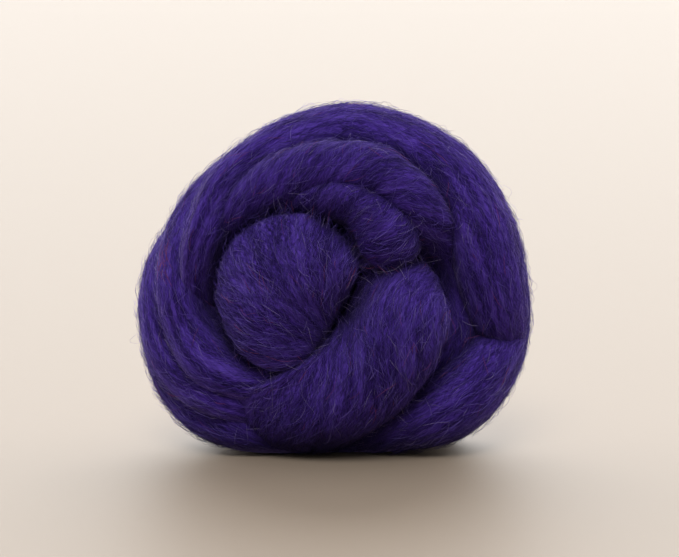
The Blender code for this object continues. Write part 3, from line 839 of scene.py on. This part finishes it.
def laid_paths(sheet, count, rng, others, steps, length, wander):
    """Fibre lines on a sheet: from random places that no other strand covers, each goes along the line of
    equal combing coordinate, turned by a slow random angle. length is the least and greatest in mm, and
    wander is how far the headings spread in degrees. Five times the count are tried, as some are covered.
    Returns the lines and their normals."""
    grid, normal, c = sheet["grid"], sheet["normal"], sheet["c"][..., None]
    d_i, d_j = np.gradient(grid, axis=0), np.gradient(grid, axis=1)
    c_i, c_j = np.gradient(c, axis=0), np.gradient(c, axis=1)
    above_the_root = np.sin(sheet["angle"]) > -0.45
    area = np.linalg.norm(np.cross(d_i, d_j), axis=-1) * above_the_root
    area[:2] = area[-2:] = 0
    picked = rng.choice(area.size, 5 * count, p=(area / area.sum()).ravel())
    i, j = np.divmod(picked, area.shape[1])
    i, j = i + rng.uniform(-0.5, 0.5, len(i)), j + rng.uniform(-0.5, 0.5, len(j))
    start = between(grid, i, j) + 0.3 * MM * between(normal, i, j)
    free = start[:, 2] > CLEAR_OF_THE_FLOOR
    for other in others:
        if other is not sheet:
            free &= ~buried(unsettled(start), other["line"])
    i, j = i[free][:count], j[free][:count]
    heading = np.radians(rng.normal(0, wander, len(i)))
    bend = np.radians(rng.normal(0, wander * 0.6, len(i)))
    size = rng.uniform(*length, len(i)) * MM / steps
    lines, normals = [], []
    for step in range(steps + 1):
        lines.append(between(grid, i, j))
        normals.append(between(normal, i, j))
        e, f = between(d_i, i, j), between(d_j, i, j)
        g, h = between(c_j, i, j)[:, 0], -between(c_i, i, j)[:, 0]
        ee, ff, ef = (e * e).sum(1), (f * f).sum(1), (e * f).sum(1)
        g, h = (q / np.sqrt(g * g * ee + 2 * g * h * ef + h * h * ff + 1e-20) for q in (g, h))
        p, q = -(ef * g + ff * h), ee * g + ef * h
        p, q = (r / np.sqrt(p * p * ee + 2 * p * q * ef + q * q * ff + 1e-20) for r in (p, q))
        angle = heading + bend * (step / steps - 0.5) * 2
        i = np.clip(i + size * (g * np.cos(angle) + p * np.sin(angle)), 0.5, grid.shape[0] - 1.5)
        j = np.clip(j + size * (h * np.cos(angle) + q * np.sin(angle)), 0.5, grid.shape[1] - 1.5)
    return np.stack(lines, 1), unit(np.stack(normals, 1))


def fibre_mesh(name, lines, normals, radius, tone, shade):
    """Thin closed fibres: three-sided tubes round each line, thickest in the middle and pointed at both ends,
    r(t) = radius * (4 t (1 - t))^0.35. Each has a cell of its own in the map, and its tone and the painted
    shade that it lies in on its points."""
    count, points = lines.shape[:2]
    tangent = unit(np.gradient(lines, axis=1))
    binormal = unit(np.cross(tangent, normals))
    upward = np.cross(binormal, tangent)
    t = np.linspace(0, 1, points)[1:-1]
    thick = radius[:, None] * (4 * t * (1 - t)) ** 0.35
    turned = np.radians([90, 330, 210])[:, None]
    ring = np.cos(turned) * binormal[:, 1:-1, None] + np.sin(turned) * upward[:, 1:-1, None]
    rings = lines[:, 1:-1, None] + ring * thick[..., None, None]
    rings[..., 2] = np.maximum(rings[..., 2], LEAST_HEIGHT)
    ends = lines[:, [0, -1]]
    ends[..., 2] = np.maximum(ends[..., 2], LEAST_HEIGHT)
    n = points - 2
    per = 3 * n + 2
    body = np.concatenate([rings.reshape(count, -1, 3), ends], 1).reshape(-1, 3)
    *face_groups, quad_cells = tube_faces(n, 3)
    shift = (np.arange(count) * per)[:, None, None]
    quad_uv = quad_cells + [1, 0]
    k = np.arange(3)
    first_uv = np.stack([0 * k, k + 0.5, 0 * k + 1, k + 1, 0 * k + 1, k], -1).reshape(-1, 2)
    last_uv = np.stack([0 * k + n + 1, k + 0.5, 0 * k + n, k, 0 * k + n, k + 1], -1).reshape(-1, 2)
    across = math.ceil(math.sqrt(count / 4))
    down = math.ceil(count / across)
    cell = np.stack([np.arange(count) % across, np.arange(count) // across], -1)[:, None]

    def in_cells(uv):
        """Places on one fibre's own map, put in the cell of each fibre."""
        share = MAP_MARGIN + (1 - 2 * MAP_MARGIN) * uv[:, ::-1] / [3, n + 1]
        return ((cell + share[None, :, :]) / [across, down]).reshape(-1, 2)

    faces = [(group[None] + shift).reshape(-1, group.shape[1]) for group in face_groups]
    uv = np.vstack([in_cells(quad_uv), in_cells(first_uv), in_cells(last_uv)])
    mesh = flat_mesh(name, body, faces, uv)
    shades = np.concatenate([np.repeat(shade[:, 1:-1], 3, axis=1), shade[:, [0, -1]]], 1)
    for kind, values in (("tone", np.repeat(tone, per)), ("shade", shades.ravel())):
        mesh.attributes.new(kind, "FLOAT", "POINT").data.foreach_set("value", values.astype(np.float32))
    return mesh


def fibre_material(name):
    """A single dyed fibre: its tone picks deep violet, violet, lilac, or the odd red or pale one."""
    material = bpy.data.materials.new(name)
    material.use_nodes = True
    tone = new_node(material.node_tree, "Attribute", attribute_name="tone")
    tint = new_node(material.node_tree, "ValToRGB", {0: tone.outputs["Fac"]})
    ramp = tint.color_ramp.elements
    ramp[0].position, ramp[0].color = 0.0, (*DEEP, 1)
    ramp[1].position, ramp[1].color = 1.0, (*PALEST, 1)
    for position, colour in FIBRE_TONES:
        ramp.new(position).color = (*colour, 1)
    dye_with_painted_shade(material, tint.outputs[0], roughness=0.6, specular=0.25)
    return material


def tones(count, rng, red=0.008, pale=0.008):
    """A tone for each fibre: mostly within the violets, with a small share of red and of pale ones."""
    tone = np.clip(rng.normal(0.52, 0.26, count), 0, 0.9)
    pick = rng.uniform(0, 1, count)
    tone[pick < red] = RED_TONE
    return np.where(pick > 1 - pale, rng.uniform(PALE_TONE, 1.0, count), tone)


# One lock at the left, where reddish fibres were carded in: its middle, its reach along x, y and z in mm, and
# the share of its fibres that are red.
RED_LOCK = settled(np.array([-45.0, -11.0, 9.5]) * MM)
RED_LOCK_REACH = (2.5, 5.0, 6.0)
RED_LOCK_SHARE = 0.6

# Each group of fibres: the lift in mm of its proud ones, up to twice that, and how many lie on each turn.
LAID = {
    "fibres_of_the_back": (0.4, (("back_turns", 5200), ("back_tuck", 400))),
    "fibres_of_the_outer_turns": (
        0.6,
        (("rim_turn", 1300), ("low_turn", 1700), ("outer_turn", 2100), ("under_turn", 2400)),
    ),
    "fibres_of_the_inner_turns": (
        0.5,
        (("fourth_turn", 3700), ("third_turn", 2700), ("inner_hook", 1100)),
    ),
    "fibres_of_the_face": (0.45, (("core_lobe", 3900), ("front_fold", 3900))),
}
by_name = {sheet["name"]: sheet for sheet in sheets}
laid_wool = fibre_material("wool_of_single_fibres")
for seed, (fibres_name, (proud_lift, shares)) in enumerate(LAID.items(), 51):
    rng = np.random.default_rng(seed)
    lines, normals = [], []
    for sheet_name, count in shares:
        laid, up = laid_paths(by_name[sheet_name], count, rng, sheets, steps=4, length=(2, 9), wander=21)
        lines.append(laid)
        normals.append(up)
    lines, normals = np.concatenate(lines), np.concatenate(normals)
    count, points = lines.shape[:2]
    t = np.linspace(0, 1, points)
    lift = 0.14 * np.abs(rng.normal(0, 1, count))
    lift = lift + proud_lift * np.clip(rng.gamma(1.5, 1.0, count) - 1.4, 0, 2)
    end = rng.uniform(0.5, 1.0, count)[:, None]
    proud = rng.uniform(0.0, 0.1, count)[:, None] + lift[:, None] * np.sin(math.pi * t * end)
    # the painted shade of the place where each fibre lies
    shade = shade_at(lines, normals)
    crinkle = np.cumsum(rng.normal(0, 0.2, (count, points)), 1)
    aside = np.cross(unit(np.gradient(lines, axis=1)), normals)
    lines = lines + (normals * proud[..., None] + aside * crinkle[..., None]) * MM
    radius = rng.uniform(*LAID_RADIUS, count) * MM
    tone = tones(count, rng)
    off = np.linalg.norm((lines[:, points // 2] - RED_LOCK) / RED_LOCK_REACH, axis=-1) / MM
    tone[(off < 1) & (rng.uniform(0, 1, count) < RED_LOCK_SHARE)] = RED_TONE
    laid_mesh = fibre_mesh(fibres_name, lines, normals, radius, tone, shade)
    laid_fibres = shown(fibres_name, laid_mesh, laid_wool)
    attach(laid_fibres, "root")

# ---- The loose fibres ----
# Fine fibres that stand away from the ball, a little over half of them in arcs and the rest with a free end.
# Each is still held by the turn that it comes out of, and stands partly clear of its shade.

# The loose fibres and the fuzz carry 0.6 of the painted shade where they stand, and the wisps 0.7.
LOOSE_SHADE = 0.6
WISP_SHADE = 0.7
ARCHED_SHARE = 0.55

rng = np.random.default_rng(61)
lines, normals = [], []
for sheet_name, count in (
    ("back_turns", 620),
    ("rim_turn", 280),
    ("low_turn", 300),
    ("outer_turn", 340),
    ("under_turn", 420),
    ("fourth_turn", 640),
    ("third_turn", 260),
    ("inner_hook", 120),
    ("core_lobe", 380),
    ("front_fold", 400),
):
    loose, up = laid_paths(by_name[sheet_name], count, rng, sheets, steps=5, length=(2.5, 10), wander=32)
    lines.append(loose)
    normals.append(up)
lines, normals = np.concatenate(lines), np.concatenate(normals)
count, points = lines.shape[:2]
t = np.linspace(0, 1, points)
arc = np.where(rng.uniform(0, 1, (count, 1)) < ARCHED_SHARE, np.sin(math.pi * t), t**1.4)
high = np.minimum(rng.gamma(1.4, 0.5, (count, 1)), 3.5)
sideways = np.cross(unit(np.gradient(lines, axis=1)), normals)
curl = np.cumsum(rng.normal(0, 0.16, (count, points)), 1) * t
shade = shade_at(lines, normals)
lines = lines + (normals * (arc * high)[..., None] + sideways * curl[..., None]) * MM
radius = rng.uniform(*FINE_RADIUS, count) * MM
tone = tones(count, rng, red=0.02, pale=0.1)
loose_mesh = fibre_mesh("loose_fibres", lines, normals, radius, tone, shade * LOOSE_SHADE)
loose_fibres = shown("loose_fibres", loose_mesh, fibre_material("wool_of_loose_fibres"))
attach(loose_fibres, "root")

# ---- The fuzz of the rim ----
# Short fibre ends, half of them lilac and half paler, that stand up by up to 1.3 mm all round the outermost
# turns, where the strand has been handled most. Their light tones are painted light: the glow of fibres
# lit from behind at the outline.

FUZZ = (
    ("rim_turn", 500),
    ("low_turn", 400),
    ("outer_turn", 700),
    ("under_turn", 600),
    ("fourth_turn", 900),
)
FACING_OUT = 0.55  # the greatest share of a fibre's normal that may point to the front or the back
rng = np.random.default_rng(81)
fuzz_way = {"steps": 3, "length": (1.5, 4), "wander": 40}
fuzz = [laid_paths(by_name[name], count, rng, sheets, **fuzz_way) for name, count in FUZZ]
lines, normals = (np.concatenate(part) for part in zip(*fuzz))
at_the_rim = np.abs(normals[:, 0, 1]) < FACING_OUT
lines, normals = lines[at_the_rim], normals[at_the_rim]
count, points = lines.shape[:2]
stand = rng.uniform(0.2, 1.3, (count, 1)) * np.linspace(0, 1, points)
shade = LOOSE_SHADE * shade_at(lines, normals)
lines = lines + (normals * stand[..., None] + np.cumsum(rng.normal(0, 0.08, (count, points, 3)), 1)) * MM
radius = rng.uniform(*FINE_RADIUS, count) * MM
# Painted light: the lilac and pale tones stand in for fibres glowing as light comes through them from behind.
lilac_half = rng.uniform(0, 1, count) < 0.5
tone = np.where(lilac_half, rng.uniform(0.8, 0.9, count), rng.uniform(PALE_TONE, 1, count))
fuzz_mesh = fibre_mesh("fuzz", lines, normals, radius, tone, shade)
fuzz_shown = shown("fuzz_of_the_rim", fuzz_mesh, fibre_material("wool_of_the_fuzz"))
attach(fuzz_shown, "root")

# ---- The wisps over the crevices ----
# Where two turns touch, single fibres of one have caught on the other. They cross the crevice between them in
# low, slack arcs.

WISPS = (
    ("core_lobe", "inner_hook", 230),
    ("core_lobe", "front_fold", 140),
    ("core_lobe", "third_turn", 50),
    ("core_lobe", "outer_turn", 110),
    ("inner_hook", "front_fold", 60),
    ("inner_hook", "third_turn", 60),
    ("front_fold", "third_turn", 50),
    ("front_fold", "under_turn", 100),
    ("front_fold", "outer_turn", 60),
    ("third_turn", "fourth_turn", 80),
)
SPOTS = 1600  # places on each turn where a wisp may start or end


def wisps(near, far, count, rng, points):
    """Lines from random places of one turn to places of the other that lie 2 to 6 mm off:
    P(t) = near (1 - t) + far t + 4 t (1 - t) slack up."""
    (near, near_up), (far, far_up) = near, far
    apart = np.linalg.norm(near[:, None] - far[None], axis=-1)
    close = rng.choice(np.where(apart.min(1) < 5 * MM)[0], count)
    met = np.abs(apart[close] - rng.uniform(2, 6, (count, 1)) * MM).argmin(1)
    start, stop, up = near[close][:, None], far[met][:, None], unit(near_up[close] + far_up[met])[:, None]
    slack = rng.uniform(0.05, 0.25, (count, 1, 1)) * np.linalg.norm(stop - start, axis=-1, keepdims=True)
    t = np.linspace(0, 1, points)[None, :, None]
    return start * (1 - t) + stop * t + 4 * t * (1 - t) * slack * up, np.repeat(up, points, axis=1)


rng = np.random.default_rng(71)
spots = {}
for sheet_name in {name: 0 for pair in WISPS for name in pair[:2]}:
    short = laid_paths(by_name[sheet_name], SPOTS, rng, sheets, steps=1, length=(1, 2), wander=0)
    spots[sheet_name] = [ends[:, 0] for ends in short]
crossing = [wisps(spots[near], spots[far], count, rng, points=6) for near, far, count in WISPS]
lines, normals = (np.concatenate(part) for part in zip(*crossing))
count, points = lines.shape[:2]
curl = np.cumsum(rng.normal(0, 0.1, (count, points, 3)), 1) * MM
shade = WISP_SHADE * shade_at(lines, normals)
radius = rng.uniform(*FINE_RADIUS, count) * MM
tone = tones(count, rng, red=0.03, pale=0.12)
wisp_mesh = fibre_mesh("wisps", lines + curl, normals, radius, tone, shade)
wisps_shown = shown("wisps_over_the_crevices", wisp_mesh, fibre_material("wool_of_the_wisps"))
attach(wisps_shown, "root")

# ---- The floor, the light and the camera ----
# A plain pale floor, soft studio light from above, in front and behind the ball, and the camera in front of
# it, looking down on it by 8 degrees.

floor_mesh = bpy.data.meshes.new("floor")
floor_mesh.from_pydata([(-4, -3, 0), (4, -3, 0), (4, 9, 0), (-4, 9, 0)], [], [(0, 1, 2, 3)])
floor_finish = bpy.data.materials.new("pale_floor")
floor_finish.use_nodes = True
floor_shader = floor_finish.node_tree.nodes["Principled BSDF"]
floor_shader.inputs["Base Color"].default_value = (0.27, 0.21, 0.155, 1)
floor_shader.inputs["Roughness"].default_value = 0.6
floor = shown("floor", floor_mesh, floor_finish)

world = bpy.data.worlds.new("studio")
world.use_nodes = True
sky = world.node_tree.nodes["Background"]
sky.inputs["Color"].default_value = (0.96, 0.98, 1.0, 1)
sky.inputs["Strength"].default_value = 0.29
bpy.context.scene.world = world
bpy.context.scene.view_settings.view_transform = "Standard"


def soft_sun(name, towards, spread, power):
    """Light from a wide, even sky of that spread in degrees, shining in one direction."""
    lamp = bpy.data.lights.new(name, "SUN")
    lamp.angle, lamp.energy = math.radians(spread), power
    light = bpy.data.objects.new(name, lamp)
    bpy.context.scene.collection.objects.link(light)
    x, y, z = towards
    light.rotation_euler = (math.atan2(math.hypot(x, y), -z), 0, math.atan2(-x, y))


soft_sun("overhead", (0.1, -0.1, -1.0), 90, 0.3)
soft_sun("front", (0.12, 0.88, -1.12), 30, 1.98)
soft_sun("behind", (0.0, -1.0, -0.5), 60, 3.2)
soft_sun("behind_left", (1.0, -0.8, -0.3), 60, 1.9)
soft_sun("behind_right", (-1.0, -0.8, -0.4), 70, 1.9)

VIEW_DISTANCE = 0.70
VIEW_ELEVATION = math.radians(8)
AIM = (*AXIS_PLACE, AXIS_HEIGHT)
PIXELS_ACROSS = 679
PIXEL_AT_BALL = 0.2692  # mm at the ball's axis
PIXELS_RIGHT, PIXELS_UP = 3.5, 19.5  # how far the frame is shifted
SENSOR_WIDTH = 36
PICTURE_WIDTH_AT_BALL = PIXELS_ACROSS * PIXEL_AT_BALL * MM
lens = bpy.data.cameras.new("camera")
camera = bpy.data.objects.new("camera", lens)
bpy.context.scene.collection.objects.link(camera)
lens.sensor_width = SENSOR_WIDTH
lens.lens = SENSOR_WIDTH * VIEW_DISTANCE / PICTURE_WIDTH_AT_BALL
lens.shift_x, lens.shift_y = PIXELS_RIGHT / PIXELS_ACROSS, PIXELS_UP / PIXELS_ACROSS
lens.clip_start, lens.clip_end = 0.05, 10
camera.location = (
    AIM[0],
    AIM[1] - VIEW_DISTANCE * math.cos(VIEW_ELEVATION),
    AIM[2] + VIEW_DISTANCE * math.sin(VIEW_ELEVATION),
)
camera.rotation_euler = (math.pi / 2 - VIEW_ELEVATION, 0, 0)
bpy.context.scene.camera = camera
